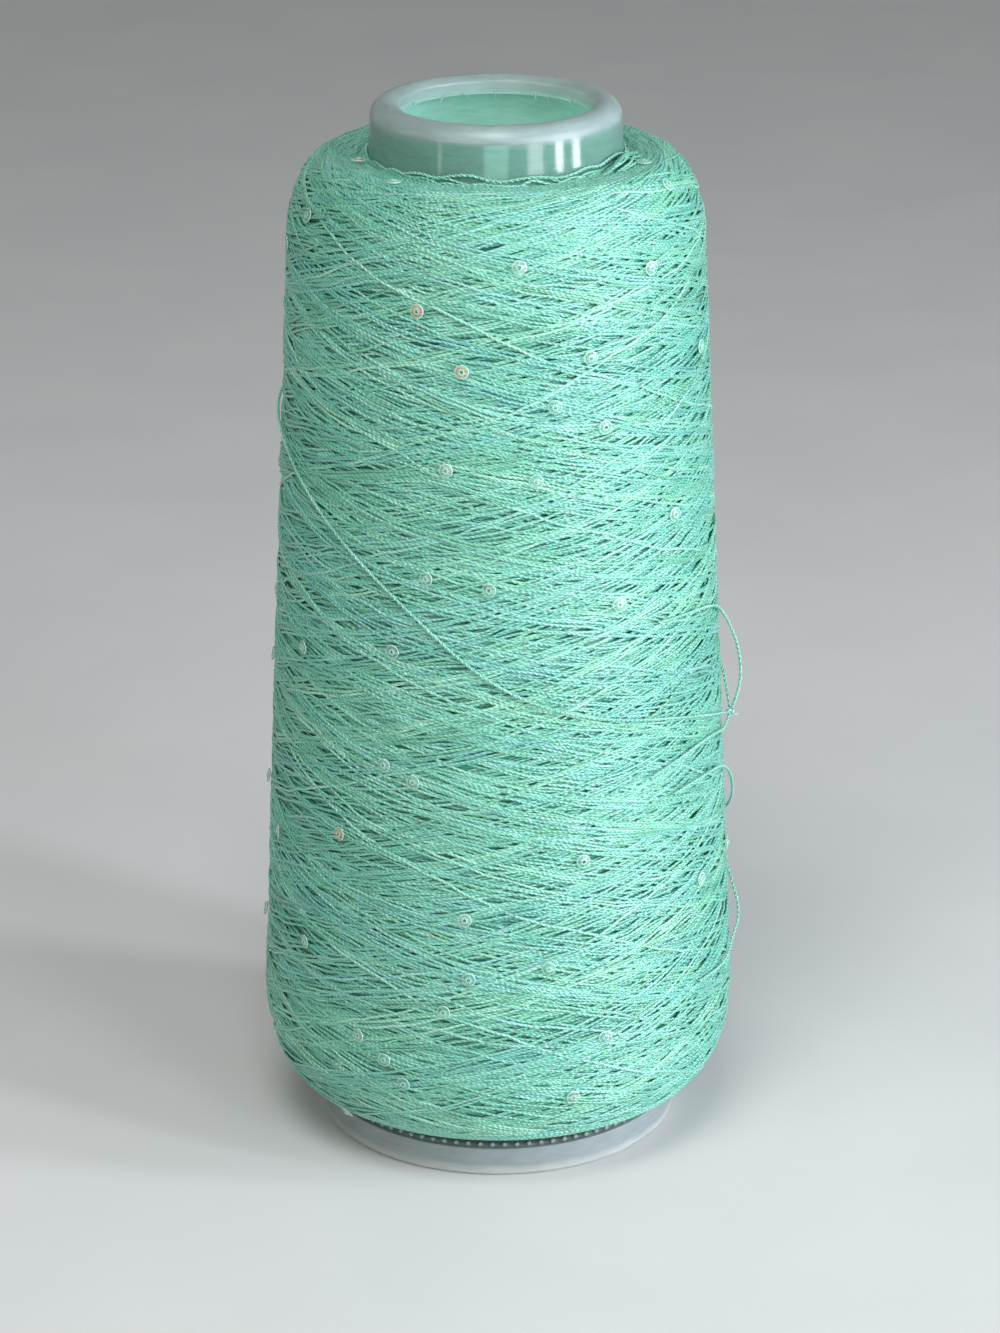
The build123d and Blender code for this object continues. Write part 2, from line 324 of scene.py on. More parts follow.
@dataclass(frozen=True)
class CoreFinish:
    """Natural polypropylene, injection moulded, unpigmented.

    It is milky and lets the yarn behind it show green. That green light, coming through the wall,
    is
    painted into the colour by height: bright in the bore and teal in the thin wall above the yarn.
    The lip and the ring are thick and look whiter, and so does the bore's mouth, where no yarn
    covers the wall. The groove under the package is darkened with painted shade, and a lighter band
    at the foot is a painted highlight. The thin wall keeps the mould's polish, and handling has
    dulled and scuffed the ring.
    """

    name: str = "natural_polypropylene"
    # Painted highlight: the lighter band at the foot.
    foot: str = "#CDD3D2"
    ring: str = "#A3AFB3"
    # Painted shade: the dark of the groove under the package.
    groove: str = "#27443F"
    tooth: str = "#A9BBBB"
    # Painted light: the yarn's green that comes through the wall.
    bore: str = "#8CE0C2"
    # The mouth is paler: less of the painted green, as no yarn is behind it.
    mouth: str = "#A5D5CB"
    # Painted light: the teal that shows through the thin wall above the yarn.
    wall: str = "#739F94"
    lip: str = "#A0B5B5"
    satin: float = 0.38
    polish: float = 0.1
    scuff_grain: float = 3.0  # mm across a scuff
    scuffed_colour: float = 0.45  # how far the scuffs change the colour
    scuffed_gloss: float = 0.25
    core_height: float = 230.0  # mm; the ramps' stops are shares of it
    groove_root: float = 37.9  # mm; the groove's teeth stand out past this radius
    mouth_radius: float = 25.4  # mm; the nose's wall is inside out to this radius

    def make(self) -> bpy.types.Material:
        """Builds the material.

        Returns:
            A material whose colour follows the height, as the yarn behind the wall does.
        """
        material, tree = blank_material(self.name)
        place = add_node(tree, "TexCoord").outputs["Object"]
        height = add_node(tree, "SeparateXYZ", links={0: place}).outputs["Z"]
        share = add_node(
            tree, "MapRange", {"From Max": self.core_height * MM}, {"Value": height}
        ).outputs[0]
        moulded = add_ramp(
            tree,
            share,
            [
                # Painted highlight on the band at the foot.
                (0.0, self.foot),
                (0.006, self.foot),
                (0.011, self.ring),
                (0.0275, self.ring),
                # Painted shade in the groove under the package.
                (0.0285, self.groove),
                (0.045, self.groove),
                # Painted light: the yarn's green through the wall.
                (0.06, self.bore),
                (0.945, self.bore),
                # Painted light: teal through the thin wall above the yarn.
                (0.951, self.wall),
                (0.983, self.wall),
                (0.987, self.lip),
            ],
        )
        level = add_node(tree, "Mapping", {"Scale": (1, 1, 0)}, {"Vector": place})
        radial = add_node(
            tree, "VectorMath", {"operation": "LENGTH"}, {0: level.outputs["Vector"]}
        ).outputs["Value"]
        # The teeth keep their own pale colour, out of the groove's painted shade.
        groove_zone = add_ramp(
            tree,
            share,
            [
                (0.0, "#000000"),
                (0.0284, "#000000"),
                (0.0286, "#FFFFFF"),
                (0.0360, "#FFFFFF"),
                (0.0362, "#000000"),
            ],
        )
        standing = add_node(
            tree, "Math", {"operation": "GREATER_THAN", 1: self.groove_root * MM}, {0: radial}
        ).outputs[0]
        teeth = add_node(
            tree, "Math", {"operation": "MULTIPLY"}, {0: standing, 1: groove_zone}
        ).outputs[0]
        toothed = add_node(
            tree, "Mix", {"data_type": "RGBA", 7: linear(self.tooth)}, {0: teeth, 6: moulded}
        ).outputs[2]
        hollow = add_ramp(
            tree,
            share,
            [
                # Painted light: the yarn's green through the wall, paler in the mouth.
                (0.0, self.bore),
                (0.93, self.bore),
                (0.951, self.mouth),
                (0.983, self.mouth),
                (0.987, self.lip),
            ],
        )
        inside = add_node(
            tree, "Math", {"operation": "LESS_THAN", 1: self.mouth_radius * MM}, {0: radial}
        ).outputs[0]
        whole = add_node(
            tree, "Mix", {"data_type": "RGBA"}, {0: inside, 6: toothed, 7: hollow}
        ).outputs[2]
        streaks = add_node(tree, "Mapping", {"Scale": (0.5, 0.5, 2.5)}, {"Vector": place})
        scuffs = add_node(
            tree,
            "TexNoise",
            {"Scale": 1 / (self.scuff_grain * MM), "Detail": 6.0, "Roughness": 0.7},
            {"Vector": streaks.outputs["Vector"]},
        ).outputs["Fac"]
        wear = add_ramp(tree, scuffs, [(0.3, "#C3C3C3"), (0.62, "#FFFFFF")])
        colour = add_node(
            tree,
            "Mix",
            {"data_type": "RGBA", "blend_type": "MULTIPLY", 0: self.scuffed_colour},
            {6: whole, 7: wear},
        ).outputs[2]
        satin = linear_grey(self.satin)
        polish = linear_grey(self.polish)
        sheen = add_ramp(
            tree,
            share,
            [(0.0, satin), (0.05, satin), (0.06, polish), (0.983, polish), (0.988, satin)],
        )
        dulled = add_node(
            tree,
            "Mix",
            {"data_type": "RGBA", "blend_type": "MULTIPLY", 0: self.scuffed_gloss},
            {6: sheen, 7: wear},
        ).outputs[2]
        bump = add_node(tree, "Bump", {"Strength": 0.1, "Distance": 0.0002}, {"Height": scuffs})
        shader = add_node(
            tree,
            "BsdfPrincipled",
            {
                "IOR": 1.49,
                "Transmission Weight": 0.25,
                "Subsurface Weight": 0.3,
                "Subsurface Radius": (0.004, 0.006, 0.006),
                "Subsurface Scale": 1.0,
            },
            {"Base Color": colour, "Roughness": dulled, "Normal": bump.outputs["Normal"]},
        )
        close_material(tree, shader.outputs["BSDF"])
        return material


@dataclass(frozen=True)
class SequinFinish:
    """Clear polyester film, punched and cupped, with a pearl coat that shifts with the angle.

    The yarn shows through the film. The cut rims are painted white as a highlight, and a few
    sequins have the coat's orange and pink flash painted into their colour as a painted reflection.
    """

    name: str = "pearl_coated_polyester_film"
    coat_thickness: float = 420.0  # nanometres
    clear_share: float = 0.82
    rim_cover: float = 0.72
    # Painted highlight: the white of the cut edges.
    cut_edge_highlight: str = "#DFF6EE"
    clear_film: str = "#F4FFFC"
    # The last tint, orange, is the coat's flash, painted in as a painted reflection.
    tints: tuple[str, ...] = ("#7FCDBB", "#9BE0CF", "#8FD8C6", "#B9EFE2", "#FFB48C")

    def make(self) -> bpy.types.Material:
        """Builds the material.

        Returns:
            A clear material with a thin film, whiter where the attribute "rim" is high.
        """
        material, tree = blank_material(self.name)
        tone = add_node(tree, "Attribute", {"attribute_name": "tone"}).outputs["Fac"]
        rim = add_node(tree, "Attribute", {"attribute_name": "rim"}).outputs["Fac"]
        tint = add_ramp(tree, tone, even_stops(self.tints))
        edged = add_node(
            tree, "Mix", {"data_type": "RGBA", 7: linear(self.cut_edge_highlight)}, {0: rim, 6: tint}
        ).outputs[2]
        film = add_node(
            tree,
            "BsdfPrincipled",
            {
                "Roughness": 0.15,
                "IOR": 1.65,
                "Thin Film Thickness": self.coat_thickness,
                "Thin Film IOR": 1.9,
            },
            {"Base Color": edged},
        )
        clear = add_node(tree, "BsdfTransparent", {"Color": linear(self.clear_film)})
        cover = add_node(
            tree,
            "MapRange",
            {"To Min": 1 - self.clear_share, "To Max": self.rim_cover},
            {"Value": rim},
        ).outputs[0]
        shader = add_node(
            tree, "MixShader", links={0: cover, 1: clear.outputs[0], 2: film.outputs["BSDF"]}
        )
        close_material(tree, shader.outputs[0])
        return material


@dataclass(frozen=True)
class FloorFinish:
    """Matt painted studio board, pale, with a barely mottled roller coat."""

    name: str = "painted_board"
    light: str = "#D9DBDC"
    dark: str = "#D4D7D8"
    mottle: float = 60.0  # mm across a patch

    def make(self) -> bpy.types.Material:
        """Builds the material.

        Returns:
            A plain pale material.
        """
        material, tree = blank_material(self.name)
        place = add_node(tree, "TexCoord").outputs["Object"]
        mottle = add_node(
            tree, "TexNoise", {"Scale": 1 / (self.mottle * MM), "Detail": 3.0}, {"Vector": place}
        ).outputs["Fac"]
        colour = add_ramp(tree, mottle, [(0.3, self.dark), (0.7, self.light)])
        shader = add_node(
            tree, "BsdfPrincipled", {"Roughness": 0.62, "IOR": 1.45}, {"Base Color": colour}
        )
        close_material(tree, shader.outputs["BSDF"])
        return material


# ---------------------------------------------------------------- meshes
def mesh_object(
    name: str,
    points: np.ndarray,
    faces: np.ndarray,
    material: bpy.types.Material,
    tones: dict[str, np.ndarray] | None = None,
    maps: dict[str, np.ndarray] | None = None,
) -> bpy.types.Object:
    """Makes an object from arrays, in millimetres.

    Args:
        name: The piece's name.
        points: One row of x, y, z for each vertex, in mm.
        faces: One row of vertex numbers for each face, all with as many corners.
        material: What it is made of.
        tones: Values for each vertex, by attribute name.
        maps: Places in an image for each face corner, by map name.

    Returns:
        The object, in the scene.
    """
    mesh = bpy.data.meshes.new(name)
    mesh.vertices.add(len(points))
    mesh.vertices.foreach_set("co", (points * MM).astype(np.float32).ravel())
    mesh.loops.add(faces.size)
    mesh.loops.foreach_set("vertex_index", faces.astype(np.int32).ravel())
    mesh.polygons.add(len(faces))
    starts = np.arange(0, faces.size, faces.shape[1], dtype=np.int32)
    mesh.polygons.foreach_set("loop_start", starts)
    mesh.update(calc_edges=True)
    mesh.shade_smooth()
    for map_name, places in (maps or {}).items():
        layer = mesh.uv_layers.new(name=map_name)
        layer.uv.foreach_set("vector", places.astype(np.float32).ravel())
    for tone_name, values in (tones or {}).items():
        attribute = mesh.attributes.new(tone_name, "FLOAT", "POINT")
        attribute.data.foreach_set("value", values.astype(np.float32))
    mesh.materials.append(material)
    made = bpy.data.objects.new(name, mesh)
    bpy.context.scene.collection.objects.link(made)
    return made


def unit(rows: np.ndarray) -> np.ndarray:
    """Scales each row to a length of 1."""
    return rows / np.maximum(np.linalg.norm(rows, axis=-1, keepdims=True), 1e-12)


def run_length(line: np.ndarray) -> np.ndarray:
    """Distance along a line at each of its points."""
    return np.concatenate([[0.0], np.cumsum(np.linalg.norm(np.diff(line, axis=0), axis=1))])


def out_and_side(turn: float) -> tuple[np.ndarray, np.ndarray]:
    """Directions away from the core's axis and round it, at an angle in radians."""
    cosine, sine = math.cos(turn), math.sin(turn)
    return np.array([cosine, sine, 0.0]), np.array([-sine, cosine, 0.0])


def round_axis(angle: np.ndarray, section: np.ndarray) -> np.ndarray:
    """Turns radius and height pairs into points round the axis.

    Args:
        angle: Angles, in radians.
        section: Radius and height for each angle.

    Returns:
        One row of x, y, z for each.
    """
    return np.stack(
        [section[:, 0] * np.cos(angle), section[:, 0] * np.sin(angle), section[:, 1]], axis=1
    )


def ring_faces(rows: int, around: int) -> np.ndarray:
    """Faces of a turned ring whose section is closed.

    Args:
        rows: Points in the section.
        around: Points round the ring, numbered row by row.

    Returns:
        Four vertex numbers for each face.
    """
    row, column = np.meshgrid(np.arange(rows), np.arange(around), indexing="ij")
    after, beside = (row + 1) % rows, (column + 1) % around
    corners = [
        row * around + column,
        row * around + beside,
        after * around + beside,
        after * around + column,
    ]
    return np.stack(corners, axis=-1).reshape(-1, 4)


@dataclass
class TubeBatch:
    """Yarn tubes gathered into one mesh, with a shade of dye for each ring."""

    sides: int
    points: list[np.ndarray] = field(default_factory=list)
    faces: list[np.ndarray] = field(default_factory=list)
    tones: list[np.ndarray] = field(default_factory=list)
    casts: list[np.ndarray] = field(default_factory=list)
    lays: list[np.ndarray] = field(default_factory=list)
    vertex_count: int = 0
    image_share: float = 0.95  # of the image, so that the last strip isn't cut off

    def add(
        self,
        line: np.ndarray,
        out: np.ndarray,
        radius: float | np.ndarray,
        tone: float | np.ndarray,
        cast: float | np.ndarray,
        flat: float = 1.0,
    ) -> None:
        """Adds one tube.

        Args:
            line: Ring centres, in mm.
            out: The direction away from the package at each ring.
            radius: The yarn's radius, or one for each ring, in mm.
            tone: Depth of dye from 0, dark, to 1, pale, or one for each ring.
            cast: From 0, bluish, to 1, greenish, or one for each ring.
            flat: Height of the tube's section for its width.
        """
        rings = len(line)
        along = unit(np.gradient(line, axis=0))
        across = unit(np.cross(along, out))
        up = np.cross(across, along)
        turn = 2 * math.pi * (np.arange(self.sides) + 0.5) / self.sides
        radii = np.broadcast_to(np.asarray(radius, float), (rings,))[:, None, None]
        ring = (
            np.sin(turn)[None, :, None] * flat * up[:, None, :]
            + np.cos(turn)[None, :, None] * across[:, None, :]
        )
        self.points.append((line[:, None, :] + radii * ring).reshape(-1, 3))
        row, column = np.meshgrid(np.arange(rings - 1), np.arange(self.sides), indexing="ij")
        beside = (column + 1) % self.sides
        corners = np.stack(
            [
                row * self.sides + column,
                (row + 1) * self.sides + column,
                (row + 1) * self.sides + beside,
                row * self.sides + beside,
            ],
            axis=-1,
        ).reshape(-1, 4)
        self.faces.append(corners + self.vertex_count)
        length = run_length(line)
        round_share = (column + np.array([0, 0, 1, 1])[:, None, None]) / self.sides
        run = length[row + np.array([0, 1, 1, 0])[:, None, None]]
        self.lays.append(np.stack([run, round_share], axis=-1).transpose(1, 2, 0, 3).reshape(-1, 2))
        for kept, value in ((self.tones, tone), (self.casts, cast)):
            kept.append(np.repeat(np.broadcast_to(np.asarray(value, float), (rings,)), self.sides))
        self.vertex_count += rings * self.sides

    def strip_map(self) -> np.ndarray:
        """Lays every face on its own square of an image, a tube's faces side by side in strips.

        Returns:
            Places for each face corner.
        """
        count = sum(len(faces) for faces in self.faces)
        segment, side = np.divmod(np.arange(count), self.sides)
        square = math.sqrt(self.image_share / count)
        in_row = int(1 / square)
        strip, place = np.divmod(segment, in_row)
        across = place[:, None] + np.array([0, 1, 1, 0])
        up = (strip * self.sides + side)[:, None] + np.array([0, 0, 1, 1])
        return np.stack([across, up], axis=-1).reshape(-1, 2) * square

    def build(self, name: str, material: bpy.types.Material) -> bpy.types.Object:
        """Makes the object.

        Args:
            name: The piece's name.
            material: The yarn's finish.

        Returns:
            The object, in the scene.
        """
        return mesh_object(
            name,
            np.concatenate(self.points),
            np.concatenate(self.faces),
            material,
            {"tone": np.concatenate(self.tones), "cast": np.concatenate(self.casts)},
            {"OFBake": self.strip_map(), "lay": np.concatenate(self.lays)},
        )


# ---------------------------------------------------------------- the package's outer shape
@dataclass(frozen=True)
class PackageShape:
    """Outer shape of the wound package and of the core that it sits on, in mm."""

    core_height: float = 230.0
    core_base_radius: float = 39.3
    core_nose_radius: float = 26.1
    bottom: float = 9.8
    top: float = 219.2
    top_at_core: float = 218.4
    side_bottom: float = 31.0
    side_top: float = 201.5
    bottom_radius: float = 52.1
    top_radius: float = 44.2
    bottom_shoulder: float = 10.6
    top_shoulder: float = 9.7
    foot_gap: float = 0.4
    core_gap: float = 0.1
    nose_climb: float = 5.0  # how far the outline goes on up the nose, for turns that climb it
    shoulder_points: int = 40
    section_step: float = 0.5
    corner_blend: float = 2.5  # reach of the smoothing at the outline's corners

    def core_radius(self, height: float | np.ndarray) -> float | np.ndarray:
        """Radius of the core's outer wall at a height."""
        slope = (self.core_nose_radius - self.core_base_radius) / self.core_height
        return self.core_base_radius + slope * height

    def radius(self, height: float) -> float:
        """Radius of the package at a height.

        Args:
            height: Height above the base, in mm.

        Returns:
            The radius, in mm.
        """
        if height > self.side_top:
            share = min((height - self.side_top) / (self.top - self.side_top), 1.0)
            return self.top_radius - self.top_shoulder * (1 - math.sqrt(1 - share * share))
        if height < self.side_bottom:
            share = min((self.side_bottom - height) / (self.side_bottom - self.bottom), 1.0)
            return self.bottom_radius - self.bottom_shoulder * (1 - math.sqrt(1 - share * share))
        share = (height - self.side_bottom) / (self.side_top - self.side_bottom)
        return self.bottom_radius + (self.top_radius - self.bottom_radius) * share

    def section(self) -> tuple[np.ndarray, np.ndarray]:
        """Follows the package's outline from the core at the bottom to the core at the top.

        Returns:
            Radius and height every section_step mm, and the outward direction there.
        """
        turns = np.linspace(0, math.pi / 2, self.shoulder_points)
        lower = self.side_bottom - self.bottom
        upper = self.top - self.side_top
        outline = [(self.core_radius(self.bottom) + self.foot_gap, self.bottom)]
        outline += [
            (
                self.bottom_radius - self.bottom_shoulder * (1 - math.sin(t)),
                self.side_bottom - lower * math.cos(t),
            )
            for t in turns
        ]
        outline += [
            (
                self.top_radius - self.top_shoulder * (1 - math.cos(t)),
                self.side_top + upper * math.sin(t),
            )
            for t in turns
        ]
        for height in (self.top_at_core, self.top_at_core + self.nose_climb):
            outline.append((self.core_radius(height) + self.core_gap, height))
        corners = np.array(outline)
        run = run_length(corners)
        places = np.arange(0, run[-1], self.section_step)
        line = np.stack([np.interp(places, run, corners[:, n]) for n in (0, 1)], axis=1)
        reach = int(self.corner_blend / self.section_step)
        padded = np.pad(line, ((reach, reach), (0, 0)), mode="reflect", reflect_type="odd")
        weights = np.hanning(2 * reach + 3)[1:-1]
        weights /= weights.sum()
        line = np.stack([np.convolve(padded[:, n], weights, "valid") for n in (0, 1)], axis=1)
        ahead = unit(np.gradient(line, axis=0))
        return line, np.stack([ahead[:, 1], -ahead[:, 0]], axis=1)


# ---------------------------------------------------------------- the wound yarn
class Layer(Enum):
    """A depth of winding: its name, depth from and to in mm, tube sides, ring step and metres."""

    INNER = ("inner", 1.0, 1.5, 4, 5.0, 150.0)
    MIDDLE = ("middle", 0.45, 1.0, 5, 3.8, 175.0)
    OUTER = ("outer", 0.0, 0.5, 6, 2.6, 215.0)


@dataclass
class Course:
    """One trip of the yarn guide: where it runs, and where its ends dive out of sight."""

    run: np.ndarray
    angle: np.ndarray
    length: float


@dataclass
class WoundYarn:
    """The cross-wound package: strands laid up and down it at a small angle, over a body in
    painted shade.
    """

    shape: PackageShape
    yarn_radius: float = 0.35
    tip_radius: float = 0.02  # where a strand ends out of sight
    flatness: float = 0.85  # height of a pressed strand's section for its width
    mean_angle: float = 12.5  # degrees from level
    angle_spread: float = 4.0
    angle_limits: tuple[float, float] = (4.5, 25.0)
    steep_extra: float = 8.0  # degrees that a riding strand is steeper
    steep_share: float = 0.13  # share of the outer courses that ride over the rest
    foot_band: tuple[float, float] = (0.4, 3.5)  # where a course starts and ends, from the foot
    turning_back: tuple[float, float] = (-2.2, 1.5)  # mean place under the top edge, and spread
    highest_turn: float = -0.6
    turn_share: float = 0.035  # share of a course over which the yarn turns back
    course_tries: int = 7
    bundles: tuple[int, ...] = (1, 1, 2, 2, 3)  # strands that may run side by side
    bundle_pitch: float = 0.84  # mm between neighbours in a bundle
    end_dive: float = 1.2  # how deep a strand's end goes, over the next length
    dive_length: float = 5.0
    foot_dive: float = 0.6  # how deep a strand goes at the foot, over the next length
    foot_length: float = 9.0
    open_depth: float = 0.45  # strands less deep than this can carry glints
    body_depth: float = 1.6
    body_points: int = 160
    top_turns: int = 34
    edge_turns: int = 9
    bottom_turns: int = 30
    level_radius: float = 32.0  # mean radius of the level turns
    level_step: float = 1.7
    raised_strands: int = 9
    raised_angle: float = -22.0
    seed: int = 23
    largest_batch: int = 93000  # vertices in one piece
    glints: int = 22000
    sliver_length: tuple[float, float] = (0.3, 0.75)
    sliver_width: tuple[float, float] = (0.12, 0.22)
    sliver_tilt: float = 0.35
    sliver_thickness: float = 0.04
    grid: tuple[int, int] = (100, 150)  # cells up and round that count how much yarn is laid
    section: np.ndarray = field(init=False)
    outward: np.ndarray = field(init=False)
    span: float = field(init=False)
    against_core: float = field(init=False)
    laid: np.ndarray = field(init=False)
    surface: list[tuple[np.ndarray, np.ndarray]] = field(init=False, default_factory=list)

    def __post_init__(self) -> None:
        """Prepares the outline that every course follows."""
        self.section, self.outward = self.shape.section()
        self.span = (len(self.section) - 1) * self.shape.section_step
        self.against_core = self.span - self.shape.nose_climb
        self.laid = np.zeros(self.grid)

    def on_outline(self, run: np.ndarray, depth: np.ndarray) -> tuple[np.ndarray, np.ndarray]:
        """Places under the package's surface.

        Args:
            run: Distance along the outline from the bottom, in mm.
            depth: Depth of the yarn's centre under the surface, in mm.

        Returns:
            Radius and height, and the outward direction there.
        """
        step = np.arange(len(self.section)) * self.shape.section_step
        out = np.stack([np.interp(run, step, self.outward[:, n]) for n in (0, 1)], axis=1)
        on = np.stack([np.interp(run, step, self.section[:, n]) for n in (0, 1)], axis=1)
        placed = on - out * depth[:, None]
        nearest = self.shape.core_radius(placed[:, 1]) + self.yarn_radius
        placed[:, 0] = np.maximum(placed[:, 0], nearest)
        return placed, unit(out)

    def round_package(self, run: np.ndarray, length_step: float, start: float) -> np.ndarray:
        """Turns distances along the outline into angles, as even steps of yarn need.

        Args:
            run: Distance along the outline at each ring, in mm.
            length_step: Yarn between rings, in mm.
            start: The first angle, in radians.

        Returns:
            The angle at each ring.
        """
        rise = np.diff(run)
        radius = self.on_outline(run, np.full(len(run), self.yarn_radius))[0][1:, 0]
        swing = np.sqrt(np.maximum(length_step**2 - rise**2, 0)) / radius
        return start + np.concatenate([[0], np.cumsum(swing)])

    def try_course(self, dice: np.random.Generator, step: float, steep: bool) -> Course:
        """Works out a trip of the yarn guide from the bottom to the top and back.

        Args:
            dice: The winding's random numbers.
            step: Distance between rings, in mm.
            steep: Whether it rides over the rest at a larger angle.

        Returns:
            The course.
        """
        low, end = dice.uniform(*self.foot_band, 2)
        high = self.against_core + min(dice.normal(*self.turning_back), self.highest_turn)
        mean = self.mean_angle + self.steep_extra * steep
        lean = math.radians(np.clip(dice.normal(mean, self.angle_spread), *self.angle_limits))
        length = (2 * high - low - end) / (math.sin(lean) * (1 - 2 * self.turn_share))
        share = np.linspace(0, 1, int(length / step) + 1)
        pace = np.clip(np.minimum(share, 1 - share) / self.turn_share, 0, 1)
        pace *= np.clip((0.5 - share) / self.turn_share, -1, 1)
        gone = np.concatenate([[0], np.cumsum((pace[1:] + pace[:-1]) / 2)])
        run = low + (high - low) * gone / gone.max() + (end - low) * share
        run = np.minimum(run, high)
        angle = self.round_package(run, length / (len(share) - 1), dice.uniform(0, 2 * math.pi))
        return Course(run, angle, length)

    def cells(self, course: Course) -> tuple[np.ndarray, np.ndarray]:
        """The cells of the package's grid that a course crosses."""
        rows = np.clip(course.run / self.span * self.grid[0], 0, self.grid[0] - 1).astype(int)
        columns = (course.angle / (2 * math.pi) * self.grid[1]).astype(int) % self.grid[1]
        return rows, columns

    def next_course(self, dice: np.random.Generator, step: float, steep: bool) -> Course:
        """Picks the course that goes where least yarn is laid, as a winder's ribbon breaker does.

        Args:
            dice: The winding's random numbers.
            step: Distance between rings, in mm.
            steep: Whether it rides over the rest at a larger angle.

        Returns:
            The course.
        """
        tries = [self.try_course(dice, step, steep) for _ in range(self.course_tries)]
        return min(tries, key=lambda course: self.laid[self.cells(course)].mean())

    def wander(
        self, dice: np.random.Generator, distance: np.ndarray, sizes: list[tuple[float, float]]
    ) -> np.ndarray:
        """Adds up a few slow waves, as yarn wanders when it is laid.

        Args:
            dice: The winding's random numbers.
            distance: Distance along the yarn, in mm.
            sizes: Height and length of each wave, in mm.

        Returns:
            The offset at each distance, in mm.
        """
        offset = np.zeros(len(distance))
        for height, length in sizes:
            long = length * dice.uniform(0.7, 1.4)
            offset += height * np.sin(2 * math.pi * (distance / long + dice.random()))
        return offset

    def lay_strand(
        self,
        batches: list[TubeBatch],
        dice: np.random.Generator,
        course: Course,
        depth: np.ndarray,
        tone: float,
        cast: float,
    ) -> None:
        """Lays one strand along a course.

        Args:
            batches: Where its tube goes: the last batch, until that is full.
            dice: The winding's random numbers.
            course: Where it runs.
            depth: Depth of its top under the surface at each ring, in mm.
            tone: Its mean depth of dye.
            cast: From 0, bluish, to 1, greenish.
        """
        distance = np.linspace(0, course.length, len(course.run))
        ends = np.minimum(distance, course.length - distance)
        sunk = self.end_dive * np.exp(-ends / self.dive_length)
        sunk += self.foot_dive * np.exp(-((course.run / self.foot_length) ** 2))
        thick = self.yarn_radius * dice.uniform(0.8, 1.0)
        width = np.full(len(distance), thick)
        width[[0, -1]] = self.tip_radius
        placed, out = self.on_outline(
            np.clip(course.run, 0.2, self.span - 0.2), depth + sunk + thick
        )
        line = round_axis(course.angle, placed)
        outward = round_axis(course.angle, out)
        shade = np.clip(tone + self.wander(dice, distance, [(0.08, 60.0), (0.08, 16.0)]), 0, 1)
        batch = batches[-1]
        batch.add(line, outward, width, shade, float(np.clip(cast, 0, 1)), self.flatness)
        if depth.mean() < self.open_depth:
            self.surface.append((line + outward * thick * 0.8, outward))
        if batch.vertex_count > self.largest_batch:
            batches.append(TubeBatch(batch.sides))

    def lay_layer(self, layer: Layer, dice: np.random.Generator) -> list[TubeBatch]:
        """Winds one layer.

        Args:
            layer: Which layer.
            dice: The winding's random numbers.

        Returns:
            Its tubes, in batches small enough for one piece.
        """
        _, shallow, deep, sides, step, metres = layer.value
        batches = [TubeBatch(sides)]
        wound = 0.0
        while wound < metres / MM:
            steep = layer is Layer.OUTER and dice.random() < self.steep_share
            course = self.next_course(dice, step, steep)
            distance = np.linspace(0, course.length, len(course.run))
            together = self.wander(dice, distance, [(0.5, 120.0), (0.25, 40.0)])
            count = 1 if steep else int(dice.choice(self.bundles))
            level = dice.uniform(shallow, deep) * (not steep)
            tone = dice.normal(0.5 + 0.04 * steep, 0.13)
            cast = dice.normal(0.5, 0.2)
            np.add.at(self.laid, self.cells(course), count * step / 3)
            for number in range(count):
                apart = self.bundle_pitch * (number - (count - 1) / 2) + dice.normal(0, 0.2)
                crimp = self.wander(dice, distance, [(0.25, 32.0), (0.13, 13.0)])
                depth = level + self.wander(dice, distance, [(0.16, 27.0), (0.1, 14.0)])
                strand = Course(course.run + apart + together + crimp, course.angle, course.length)
                strand.run += dice.normal(0, 0.09, len(distance))
                depth = np.maximum(depth + dice.normal(0.08, 0.06, len(distance)), 0)
                own = tone + dice.normal(0, 0.1), cast + dice.normal(0, 0.12)
                self.lay_strand(batches, dice, strand, depth, *own)
            wound += course.length * count
        return [batch for batch in batches if batch.points]

    def lay_level_turns(self, dice: np.random.Generator) -> TubeBatch:
        """Lays the turns that gather where the guide turns back, and the raised bundle.

        Args:
            dice: The winding's random numbers.

        Returns:
            Their tubes.
        """
        batches = [TubeBatch(Layer.OUTER.value[3])]
        edge = self.against_core
        ways = [(edge - 7.5, edge - 0.6)] * self.top_turns
        ways += [(edge - 0.4, edge + 0.9)] * self.edge_turns
        ways += [(0.5, 9.0)] * self.bottom_turns
        for lowest, highest in ways:
            start = dice.uniform(0, 2 * math.pi)
            length = dice.uniform(2.2, 5.6) * self.level_radius
            middle = dice.uniform(lowest, highest)
            close = middle > edge - 3.5
            count = int(length / self.level_step)
            distance = np.linspace(0, length, count)
            tall = 0.75 if close else 0.45
            run = middle + self.wander(dice, distance, [(tall, 26.0), (tall * 0.5, 12.0)])
            run = np.clip(run, 0.3, edge + 1.9)
            # A turn at the top starts a little lower and climbs to its level.
            run[:6] -= np.linspace(1.5, 0, 6) * (middle > 20)
            course = Course(run, start + distance / self.level_radius, length)
            depth = np.full(count, dice.uniform(0, 0.4) + 0.3 * close)
            self.lay_strand(batches, dice, course, depth, dice.normal(0.6, 0.12), 0.5)
        for number in range(self.raised_strands):
            half = dice.uniform(20, 30)
            around = np.linspace(-half, half, 34)
            bump = np.cos(around / half * math.pi / 2) ** 2
            share = number / (self.raised_strands - 1)
            run = edge - 0.6 - 2.6 * share + self.wander(dice, around, [(0.4, 20.0)])
            lift = bump * (1.2 + 1.7 * math.sin(math.pi * share)) * dice.uniform(0.75, 1.1)
            angle = np.radians(self.raised_angle + dice.normal(0, 2.5) + around)
            course = Course(run, angle, 30.0)
            self.lay_strand(batches, dice, course, 0.3 - lift, dice.normal(0.66, 0.12), 0.45)
        return batches[0]

